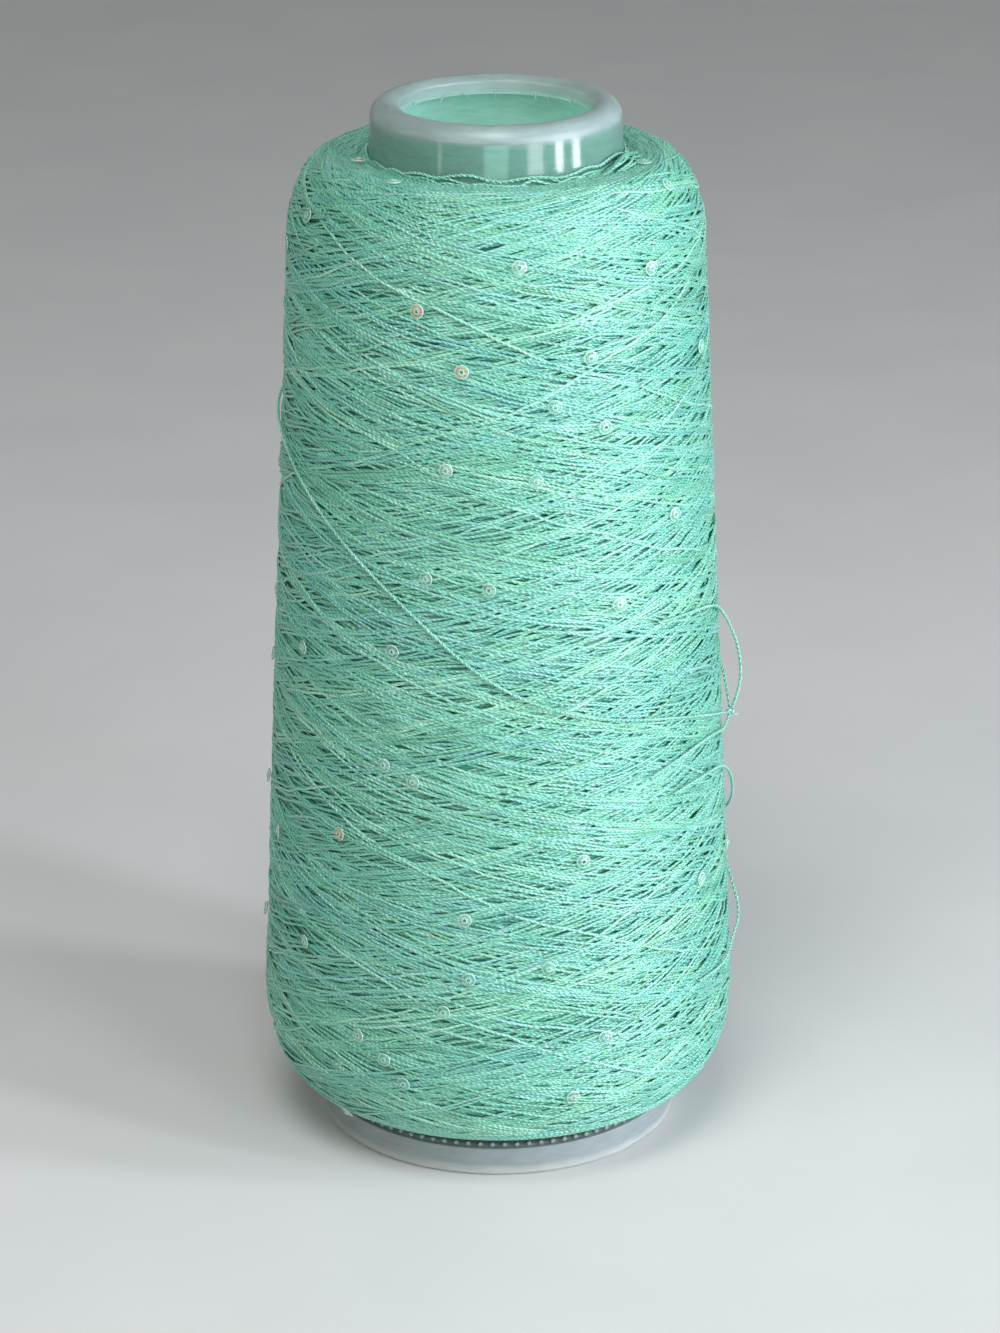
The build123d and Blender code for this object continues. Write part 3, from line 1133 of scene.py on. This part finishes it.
    def lay_glints(self, dice: np.random.Generator) -> tuple[np.ndarray, np.ndarray, np.ndarray]:
        """Sets slivers of metallised filament on the outer strands.

        Args:
            dice: The winding's random numbers.

        Returns:
            Points, the faces of a thin sliver for each four points, and a tone for each point.
        """
        points, tones = [], []
        lengths = np.array([len(line) for line, _ in self.surface], float)
        chosen = dice.choice(len(self.surface), self.glints, p=lengths / lengths.sum())
        for number in chosen:
            line, out = self.surface[number]
            ring = int(dice.integers(1, len(line) - 1))
            up = out[ring]
            along = unit(line[ring + 1] - line[ring])
            across = np.cross(along, up)
            tip = dice.normal(0, self.sliver_tilt, 2)
            along = unit(along + up * tip[0] * 0.6 + across * 0.25)
            across = unit(across + up * tip[1])
            half = 0.5 * dice.uniform(*self.sliver_length) * along
            wide = 0.5 * dice.uniform(*self.sliver_width) * across
            middle = line[ring] + (line[ring + 1] - line[ring]) * dice.random() + up * 0.05
            lifted = middle - wide + up * self.sliver_thickness
            points.append([middle - half, middle + half, middle + wide, lifted])
            tones.append(np.full(4, dice.random()))
        sides = np.array([(0, 2, 1), (0, 1, 3), (0, 3, 2), (1, 2, 3)])
        faces = (np.arange(self.glints)[:, None, None] * 4 + sides).reshape(-1, 3)
        return np.array(points).reshape(-1, 3), faces, np.concatenate(tones)

    def dark_body(self, material: bpy.types.Material) -> bpy.types.Object:
        """Turns the closed ring that fills the gaps between strands, darkened with painted shade.

        Args:
            material: The yarn's finish, darkened with painted shade.

        Returns:
            The object, in the scene.
        """
        run = np.arange(0, self.against_core, 2 * self.shape.section_step)
        outline, _ = self.on_outline(run, np.full(len(run), self.body_depth))
        around = self.body_points
        turn = np.linspace(0, 2 * math.pi, around, endpoint=False)
        rings = [round_axis(turn, np.tile(place, (around, 1))) for place in outline]
        faces = ring_faces(len(outline), around)
        return mesh_object("package_body", np.concatenate(rings), faces, material)

    def build(
        self,
        yarn: bpy.types.Material,
        shaded: bpy.types.Material,
        filament: bpy.types.Material,
    ) -> list[bpy.types.Object]:
        """Winds the package.

        Args:
            yarn: The yarn's finish.
            shaded: Its finish deep in the gaps, darkened with painted shade.
            filament: The metallised filament's finish.

        Returns:
            Its pieces.
        """
        dice = np.random.default_rng(self.seed)
        body = self.dark_body(shaded)
        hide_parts("yarn_package")
        pieces = [body]
        for layer in Layer:
            for number, batch in enumerate(self.lay_layer(layer, dice), start=1):
                pieces.append(batch.build(f"wound_yarn_{layer.value[0]}_{number}", yarn))
        pieces.append(self.lay_level_turns(dice).build("wound_yarn_level_turns", yarn))
        points, faces, tones = self.lay_glints(dice)
        pieces.append(mesh_object("filament_glints", points, faces, filament, {"tone": tones}))
        for piece in pieces:
            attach(piece, ROOT)
        return pieces


# ---------------------------------------------------------------- stretches of yarn off the package
class Hold(Enum):
    """How a free stretch of yarn lies."""

    TAUT = "taut"
    LOOSE = "loose"


@dataclass(frozen=True)
class FreeStretch:
    """A stretch of yarn that leaves the package, with its route in mm."""

    node: str
    route: list[Point]
    length: float
    hold: Hold


@dataclass
class FreeYarn:
    """The loose end, the tied loop, the knot's legs, the side loops and the nose strand."""

    shape: PackageShape
    yarn_radius: float = 0.35
    stand_off: float = 0.5
    knot_angle: float = -2.2
    knot_off_package: float = 1.6
    knot_height: float = 93.9
    knot_radius: float = 1.015
    knot_gap: float = 0.05
    knot_scale: float = 0.24
    knot_yarn: float = 0.3
    stub_fibres: int = 5
    stub_fibre: float = 0.13
    ply_radius: float = 0.2
    ply_offset: float = 0.16
    twist_pitch: float = 2.4
    ply_sides: int = 6
    line_steps: int = 28  # points of the smooth line for each point of a route
    seed: int = 5

    def at(self, angle: float, from_axis: float, height: float) -> Point:
        """A point from its angle in degrees, distance from the axis and height."""
        turn = math.radians(angle)
        return from_axis * math.cos(turn), from_axis * math.sin(turn), height

    def off_package(self, angle: float, off: float, height: float) -> Point:
        """A point at a distance off the package's side."""
        return self.at(angle, self.shape.radius(height) + off, height)

    def knot_centre(self) -> Point:
        """The middle of the knot."""
        return self.off_package(self.knot_angle, self.knot_off_package, self.knot_height)

    def laid_round(self, places: list[tuple[float, float]], on_core: bool = False) -> list[Point]:
        """Route points whose smooth line lies on the package or on the core.

        Args:
            places: Angle and height of each point.
            on_core: Whether it lies on the core's nose.

        Returns:
            The points.
        """
        radius_at = self.shape.core_radius if on_core else self.shape.radius
        made = []
        for number, (angle, height) in enumerate(places):
            beside = places[max(number - 1, 0)], places[min(number + 1, len(places) - 1)]
            step = max(abs(angle - other) for other, _ in beside)
            out = (radius_at(height) + self.stand_off) / math.cos(math.radians(step) / 2)
            made.append(self.at(angle, out, height))
        return made

    def up_to_knot(self, points: list[Point]) -> list[Point]:
        """Carries a route on to the knot's side.

        Args:
            points: The route so far.

        Returns:
            The route with its last point.
        """
        centre = Vector(self.knot_centre())
        way = (Vector(points[-1]) - centre).normalized()
        return points + [tuple(centre + way * (self.knot_radius + self.knot_gap))]

    def stretches(self) -> list[FreeStretch]:
        """Lists every free stretch.

        Returns:
            The stretches, each with the CAD node that it stands for.
        """
        free = self.off_package
        loose_end = self.laid_round(
            [
                (-200, 167.0), (-187, 165.6), (-175, 163.2), (-164, 160.2), (-153, 155.6),
                (-142, 150.0), (-131, 144.0), (-120, 137.6), (-109, 130.6), (-99, 123.2),
                (-89, 117.2), (-78, 112.6), (-66, 109.2), (-53, 106.6), (-40, 104.2),
                (-27, 101.0), (-14.5, 97.6),
            ]
        )
        tied_loop = self.laid_round(
            [(-46, 126.6), (-36, 126.0), (-26, 125.0), (-16.5, 123.0), (-8.5, 119.6)]
        ) + [
            free(-4.0, 2.0, 115.2), free(-2.2, 3.6, 110.2), free(-2.4, 4.3, 104.8),
            free(-2.6, 3.9, 99.6),
        ]
        upper_leg = self.laid_round([(38, 108.4), (28, 107.0), (18, 105.0), (9, 102.6)])
        upper_leg.append(free(2.6, 1.1, 99.4))
        lower_leg = self.laid_round(
            [(-50, 93.0), (-39, 94.8), (-28, 95.6), (-17.5, 94.4), (-9.0, 92.0)]
        )
        mid_loop = (
            self.laid_round([(-42, 87.4), (-32, 87.8), (-22, 87.2), (-13, 85.2)])
            + [free(-5.5, 1.4, 80.8), free(-2.4, 1.7, 75.0)]
            + self.laid_round([(4, 69.4), (13, 66.0), (23, 64.4), (33, 64.0)])
        )
        low_loop = (
            self.laid_round([(34, 61.0), (25, 59.4), (16, 57.0), (8, 53.6)])
            + [free(2.0, 1.7, 49.2), free(-1.6, 2.3, 45.2)]
            + self.laid_round([(-7, 41.8), (-15, 40.6), (-24, 40.8), (-34, 41.8)])
        )
        rises = [
            (-134, 0.8), (-126, 1.8), (-117, 0.9), (-109, 1.9), (-101, 2.3), (-93, 1.1),
            (-86, 0.9), (-79, 1.5), (-71, 1.6), (-63, 0.8), (-55, 1.1), (-47, 2.1),
            (-39, 1.4), (-31, 2.3), (-22, 2.5), (-14, 1.5),
        ]
        nose = self.laid_round(
            [(angle, self.shape.top_at_core + rise) for angle, rise in rises], on_core=True
        )
        return [
            FreeStretch("loose_end", self.up_to_knot(loose_end), 0.183, Hold.TAUT),
            FreeStretch("tied_loop", self.up_to_knot(tied_loop), 0.060, Hold.LOOSE),
            FreeStretch("knot_leg_upper", self.up_to_knot(upper_leg), 0.038, Hold.LOOSE),
            FreeStretch("knot_leg_lower", self.up_to_knot(lower_leg), 0.041, Hold.LOOSE),
            FreeStretch("side_loop_mid", mid_loop, 0.074, Hold.LOOSE),
            FreeStretch("side_loop_low", low_loop, 0.068, Hold.LOOSE),
            FreeStretch("nose_strand", nose, 0.058, Hold.LOOSE),
        ]

    def smooth_line(self, route: list[Point]) -> np.ndarray:
        """Reads the smooth spline that has a route's points as its control points.

        Args:
            route: The route's points, in mm.

        Returns:
            Points along the spline, in mm.
        """
        curve = bpy.data.curves.new("route", "CURVE")
        curve.dimensions = "3D"
        spline = curve.splines.new("NURBS")
        spline.points.add(len(route) - 1)
        for point, place in zip(spline.points, route):
            point.co = (*place, 1.0)
        spline.order_u = 3
        spline.use_endpoint_u = True
        spline.resolution_u = self.line_steps
        curve.resolution_u = self.line_steps
        holder = bpy.data.objects.new("route", curve)
        read = bpy.data.meshes.new_from_object(holder)
        line = np.array([vertex.co for vertex in read.vertices], float)
        bpy.data.objects.remove(holder)
        bpy.data.curves.remove(curve)
        bpy.data.meshes.remove(read)
        return line

    def twist(self, line: np.ndarray, batch: TubeBatch, dice: np.random.Generator) -> None:
        """Twists two plies round a line.

        Args:
            line: The yarn's middle line, in mm.
            batch: Where the plies go.
            dice: Random numbers for their dye.
        """
        along = unit(np.gradient(line, axis=0))
        side = np.zeros_like(line)
        side[0] = unit(np.cross(along[0], (0.0, 0.0, 1.0)))
        for number in range(1, len(line)):
            carried = side[number - 1] - along[number] * (side[number - 1] @ along[number])
            side[number] = unit(carried)
        other = np.cross(along, side)
        distance = run_length(line)
        for ply in range(2):
            turn = 2 * math.pi * (distance / self.twist_pitch + ply / 2)
            out = np.cos(turn)[:, None] * side + np.sin(turn)[:, None] * other
            tone = 0.82 + 0.1 * np.sin(distance / 3.1 + dice.uniform(0, 6)) - 0.12 * ply
            batch.add(line + out * self.ply_offset, out, self.ply_radius, tone, 0.5)

    def build(self, yarn: bpy.types.Material) -> list[bpy.types.Object]:
        """Makes every free stretch as plied yarn.

        Args:
            yarn: The yarn's finish.

        Returns:
            The pieces.
        """
        pieces = []
        dice = np.random.default_rng(self.seed)
        for stretch in self.stretches():
            line = self.smooth_line(stretch.route)
            batch = TubeBatch(self.ply_sides)
            self.twist(line, batch, dice)
            piece = batch.build(f"plied_{stretch.node}", yarn)
            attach(piece, ROOT)
            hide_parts(stretch.node)
            pieces.append(piece)
        return pieces

    def build_knot(self, yarn: bpy.types.Material) -> bpy.types.Object:
        """Ties the knot, a small overhand knot with its cut stub.

        Args:
            yarn: The yarn's finish.

        Returns:
            The piece.
        """
        centre = np.array(self.knot_centre())
        turn = np.linspace(0, 2 * math.pi, 121)
        loops = np.stack(
            [
                np.sin(turn) + 2 * np.sin(2 * turn),
                -np.sin(3 * turn) * 1.2,
                np.cos(turn) - 2 * np.cos(2 * turn),
            ],
            axis=1,
        )
        batch = TubeBatch(8)
        line = centre + loops * self.knot_scale
        batch.add(line, unit(line - centre), self.knot_yarn, 0.92, 0.5)
        way = unit(np.array([1.0, 0.0, -0.5]))
        root = centre + way * 0.5
        dice = np.random.default_rng(self.seed)
        for _ in range(self.stub_fibres):
            spread = dice.normal(0, 0.28, 3)
            share = np.linspace(0, 1, 9)[:, None]
            fibre = root + way * share * dice.uniform(1.2, 1.7) + spread * share**2
            out = np.tile((0.0, 0.0, 1.0), (len(fibre), 1))
            batch.add(fibre, out, self.stub_fibre * (1 - 0.55 * share[:, 0]), 0.95, 0.5)
        piece = batch.build("tied_knot", yarn)
        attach(piece, ROOT)
        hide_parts("end_knot")
        return piece


# ---------------------------------------------------------------- sequins
@dataclass
class Sequins:
    """Cupped sequins in the places of the CAD's, each with a rolled rim and a raised eye."""

    radius: float = 1.5
    hole_radius: float = 0.4
    thickness: float = 0.1
    rim_highlight_reach: float = 0.16  # how far the cut edge's painted white highlight reaches
    around: int = 28
    seed: int = 9

    def places(self, node: str) -> list[tuple[np.ndarray, np.ndarray]]:
        """Finds each sequin of a CAD node.

        Args:
            node: The node's name.

        Returns:
            The middle of each rim and the way its eye points.
        """
        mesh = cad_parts[node].data
        co = np.array([vertex.co for vertex in mesh.vertices], float) / MM
        _, welded = np.unique(np.round(co, 3), axis=0, return_inverse=True)
        welded = welded.ravel()
        ends = np.array([edge.vertices[:] for edge in mesh.edges])
        pairs = welded[ends]
        label = np.arange(welded.max() + 1)
        while True:
            lowest = label.copy()
            np.minimum.at(lowest, pairs[:, 0], label[pairs[:, 1]])
            np.minimum.at(lowest, pairs[:, 1], label[pairs[:, 0]])
            lowest = lowest[lowest]
            if (lowest == label).all():
                break
            label = lowest
        found = []
        for group in np.unique(label):
            points = np.unique(np.round(co[label[welded] == group], 3), axis=0)
            middle = points.mean(axis=0)
            away = np.linalg.norm(points - middle, axis=1)
            rim = points[away > 0.8 * self.radius].mean(axis=0)
            eye = points[away < 0.5 * self.radius].mean(axis=0)
            found.append((rim, unit(eye - rim)))
        return found

    def outline(self) -> np.ndarray:
        """The section of a sequin, round its thickness.

        Returns:
            Radius and height pairs.
        """
        wide = self.radius - self.hole_radius
        top = [
            (self.radius, 0.06),
            (self.radius - 0.08, 0.15),
            (self.radius - 0.2, 0.13),
            (self.radius - 0.3 * wide, 0.16),
            (self.radius - 0.45 * wide, 0.24),
            (self.radius - 0.55 * wide, 0.3),
            (self.hole_radius + 0.14, 0.36),
            (self.hole_radius + 0.06, 0.42),
            (self.hole_radius, 0.38),
        ]
        under = [(radius, height - self.thickness) for radius, height in reversed(top)]
        return np.array(top + under)

    def build(self, film: bpy.types.Material) -> bpy.types.Object:
        """Presses the sequins.

        Args:
            film: The film's finish.

        Returns:
            One piece with all of them.
        """
        dice = np.random.default_rng(self.seed)
        outline = self.outline()
        turn = np.linspace(0, 2 * math.pi, self.around, endpoint=False)
        rows = len(outline)
        edge = np.minimum(self.radius - outline[:, 0], outline[:, 0] - self.hole_radius)
        # Painted highlight: each sequin whitens near its outer and inner cut edges.
        rims = np.repeat(np.clip(1.4 - edge / self.rim_highlight_reach, 0, 1), self.around)
        points, faces, tones = [], [], []
        for number, (rim, axis) in enumerate(self.places("sequins")):
            side = unit(np.cross(axis, (0.3, 0.4, 0.87)))
            other = np.cross(axis, side)
            ring = np.cos(turn)[:, None] * side + np.sin(turn)[:, None] * other
            shell = outline[:, None, :1] * ring[None] + outline[:, None, 1:] * axis
            points.append((rim + shell).reshape(-1, 3))
            faces.append(ring_faces(rows, self.around) + number * rows * self.around)
            tones.append(np.full(rows * self.around, dice.random()))
        piece = mesh_object(
            "cupped_sequins",
            np.concatenate(points),
            np.concatenate(faces),
            film,
            {"tone": np.concatenate(tones), "rim": np.tile(rims, len(tones))},
        )
        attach(piece, ROOT)
        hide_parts("sequins")
        return piece


# ---------------------------------------------------------------- the core
@dataclass
class ConeCore:
    """The moulded core: its CAD node dressed, and the flash left on its nose."""

    bore_radius: float = 20.3
    lip_bottom: float = 226.2
    crest: tuple[float, float] = (22.9, 226.6)  # radius and height of the rim's rounding centre
    rim_round: float = 3.4
    flash_angles: tuple[float, ...] = (122.0, 111.0, 90.0, 66.0, 57.0, 38.0, 150.0)
    flash_radius: float = 0.26
    flash_drop: float = 1.5
    crumbs: int = 16
    crumb_half: float = 0.22
    crumb_radius: tuple[float, float] = (0.07, 0.16)
    seed: int = 3

    def dress(self, plastic: bpy.types.Material) -> None:
        """Gives the CAD node its finish.

        Args:
            plastic: The core's finish.
        """
        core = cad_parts["core_cone"]
        core.data.materials.clear()
        core.data.materials.append(plastic)

    def flash(self, plastic: bpy.types.Material) -> bpy.types.Object:
        """Leaves moulding flash: ticks under the lip and crumbs on the rim.

        Args:
            plastic: The core's finish.

        Returns:
            The piece.
        """
        dice = np.random.default_rng(self.seed)
        batch = TubeBatch(5)
        for angle in self.flash_angles:
            out, side = out_and_side(math.radians(angle))
            root = out * (self.bore_radius + 0.1) + (0, 0, self.lip_bottom + 0.7)
            share = np.linspace(0, 1, 6)[:, None]
            lean = dice.normal(0, 0.7)
            tick = root + share * (side * lean - out * 0.5 - (0, 0, self.flash_drop))
            width = self.flash_radius * (1 - 0.6 * share[:, 0])
            batch.add(tick, np.tile(out, (len(tick), 1)), width, 0.9, 0.5)
        for _ in range(self.crumbs):
            out, side = out_and_side(dice.uniform(0, 2 * math.pi))
            lean = dice.uniform(-0.5, 0.5)
            across = self.crest[0] + self.rim_round * math.sin(lean)
            root = out * across + (0, 0, self.crest[1] + self.rim_round * math.cos(lean) - 0.02)
            along = np.linspace(-self.crumb_half, self.crumb_half, 4)[:, None]
            crumb = root + along * (side + dice.normal(0, 0.4, 3))
            width = dice.uniform(*self.crumb_radius)
            batch.add(crumb, np.tile((0.0, 0.0, 1.0), (len(crumb), 1)), width, 0.9, 0.5)
        piece = batch.build("nose_flash", plastic)
        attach(piece, ROOT)
        return piece


# ---------------------------------------------------------------- the studio
@dataclass(frozen=True)
class SoftLight:
    """A soft box: its place and aim in metres, width and height, power and colour.

    A light that doesn't mirror leaves no image of itself in gloss.
    """

    name: str
    place: Point
    aim: Point
    width: float
    height: float
    power: float
    colour: str
    mirrors: bool = True


@dataclass
class Studio:
    """Pale floor, soft lights and the camera."""

    floor_size: float = 6.0  # metres
    camera_place: Point = (0.0, -0.9044, 0.4481)
    pitch_down: float = 20.84  # degrees
    roll: float = -0.0028  # radians
    view_height: float = 17.06  # degrees
    shift_across: float = 0.00195
    surround: str = "#D6D8D6"
    surround_strength: float = 0.35
    lights: tuple[SoftLight, ...] = (
        SoftLight("window_left", (0.62, -0.88, 0.41), (0, 0, 0.38), 0.26, 0.8, 4.8, "#F6F9FF"),
        SoftLight("window_middle", (0.91, -0.57, 0.41), (0, 0, 0.38), 0.12, 0.8, 7.0, "#F6F9FF"),
        SoftLight("window_right", (1.04, -0.26, 0.41), (0, 0, 0.38), 0.14, 0.8, 7.0, "#F6F9FF"),
        SoftLight("left_strip", (-0.8, -0.66, 0.41), (0, 0, 0.38), 0.03, 0.7, 0.5, "#FFFFFF"),
        SoftLight("fill_light", (-0.6, -0.9, 0.6), (0, 0, 0.1), 0.8, 0.8, 2.0, "#FFE4C4"),
        SoftLight("top_light", (-0.1, -0.5, 0.95), (0, 0, 0.21), 0.4, 0.4, 4.3, "#FFFFFF"),
        # Three strips on the axis stand for the daylight that comes through the core's wall and
        # fills its bore.
        SoftLight(
            "bore_back", (0, 0, 0.125), (0, 1, 0.125), 0.01, 0.2, 0.021, "#EAF2F0", False
        ),
        SoftLight(
            "bore_left", (0, 0, 0.125), (-0.87, -0.5, 0.125), 0.01, 0.2, 0.021, "#EAF2F0", False
        ),
        SoftLight(
            "bore_right", (0, 0, 0.125), (0.87, -0.5, 0.125), 0.01, 0.2, 0.021, "#EAF2F0", False
        ),
    )

    def lay_floor(self, board: bpy.types.Material) -> bpy.types.Object:
        """Lays the floor.

        Args:
            board: The floor's finish.

        Returns:
            The floor.
        """
        half = self.floor_size / 2 / MM
        points = np.array([(-half, -half, 0), (half, -half, 0), (half, half, 0), (-half, half, 0)])
        floor = mesh_object("studio_floor", points.astype(float), np.array([[0, 1, 2, 3]]), board)
        return floor

    def hang_lights(self) -> None:
        """Hangs the soft lights and sets the surround."""
        for light in self.lights:
            data = bpy.data.lights.new(light.name, "AREA")
            data.energy = light.power
            data.shape = "RECTANGLE"
            data.size = light.width
            data.size_y = light.height
            data.color = linear(light.colour)[:3]
            lamp = bpy.data.objects.new(light.name, data)
            lamp.location = light.place
            way = Vector(light.aim) - Vector(light.place)
            lamp.rotation_euler = way.to_track_quat("-Z", "Y").to_euler()
            lamp.visible_camera = False
            lamp.visible_glossy = light.mirrors
            bpy.context.scene.collection.objects.link(lamp)
        world = bpy.data.worlds.new("surround")
        world.use_nodes = True
        background = world.node_tree.nodes["Background"]
        background.inputs["Color"].default_value = linear(self.surround)
        background.inputs["Strength"].default_value = self.surround_strength
        bpy.context.scene.world = world

    def set_camera(self) -> None:
        """Sets up the camera."""
        data = bpy.data.cameras.new("studio_camera")
        data.sensor_fit = "VERTICAL"
        data.angle_y = math.radians(self.view_height)
        data.shift_x = self.shift_across
        data.clip_start = 0.01
        camera = bpy.data.objects.new("studio_camera", data)
        tilt = Matrix.Rotation(math.radians(90 - self.pitch_down), 4, "X")
        camera.matrix_world = (
            Matrix.Translation(self.camera_place) @ tilt @ Matrix.Rotation(self.roll, 4, "Z")
        )
        bpy.context.scene.collection.objects.link(camera)
        bpy.context.scene.camera = camera


def main() -> None:
    """Builds the scene: studio, free yarn, package, sequins and core."""
    logging.basicConfig(level=logging.INFO, format="%(name)s: %(message)s")
    bpy.context.scene.view_settings.view_transform = "Standard"
    studio = Studio()
    studio.set_camera()
    studio.hang_lights()
    studio.lay_floor(FloorFinish().make())
    shape = PackageShape()
    yarn = YarnFinish().make()
    plastic = CoreFinish().make()
    free_yarn = FreeYarn(shape)
    made = free_yarn.build(yarn)
    made.append(free_yarn.build_knot(yarn))
    made += WoundYarn(shape).build(yarn, InnerYarnFinish().make(), FilamentFinish().make())
    made.append(Sequins().build(SequinFinish().make()))
    core = ConeCore()
    core.dress(plastic)
    made.append(core.flash(plastic))
    for piece in made:
        LOG.info("%s has %d faces", piece.name, len(piece.data.polygons))


if __name__ == "__main__":
    main()
